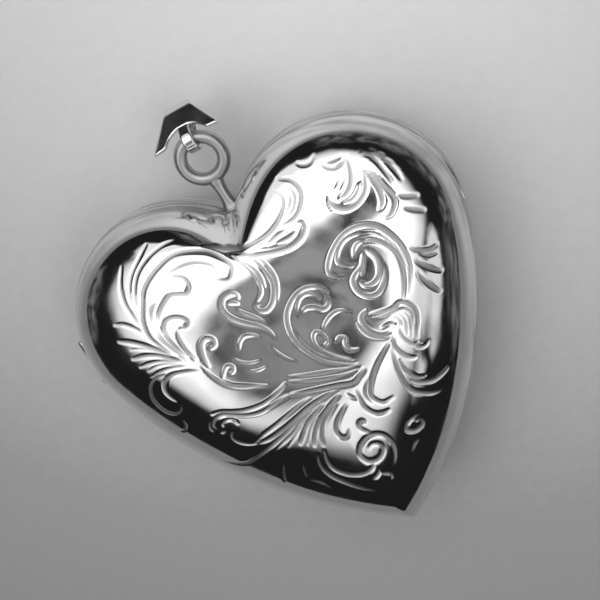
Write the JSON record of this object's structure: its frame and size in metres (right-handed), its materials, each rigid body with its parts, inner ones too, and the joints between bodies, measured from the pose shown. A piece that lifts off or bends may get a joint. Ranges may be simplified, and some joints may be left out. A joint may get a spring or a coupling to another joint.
{
  "type": "heart locket box",
  "caption": "Puffed heart box worn as a locket: domed engraved lid hinged at one side, plain domed back, photo frame inside the lid, hanging ring and leaf-shaped bail in the cleft.",
  "frame": {"origin": "middle of the back's flat crown, where the box rests when it lies on its back", "axes": "+Z out of the engraved front, +Y from the heart's tip to its cleft and bail, +X to the right seen from the front"},
  "size_m": [0.0345, 0.0395, 0.0131],
  "materials": {
    "silver": "polished silver",
    "clear_sheet": "clear acetate sheet",
    "card": "blank paper card"
  },
  "bodies": {
    "case": {"back_shell": "silver", "hinge_knuckle_upper": "silver", "hinge_knuckle_lower": "silver", "hinge_pin": "silver", "hanging_ring": "silver"},
    "lid": {"front_shell": "silver", "snap_rim": "silver", "photo_frame": "silver", "photo_window": "clear_sheet", "photo_card": "card", "hinge_knuckle_middle": "silver"},
    "bail_loop": {"bail": "silver"}
  },
  "joints": [
    {"name": "lid_hinge", "type": "hinge", "parent": "case", "child": "lid", "pos_m": [-0.01704, 0.00425, 0.00653], "axis": [0, -1, 0], "range_deg": [0, 160]},
    {"name": "bail_swing", "type": "hinge", "parent": "case", "child": "bail_loop", "pos_m": [0, 0.01652, 0.0059], "axis": [1, 0, 0], "range_deg": [-85, 78]}
  ]
}
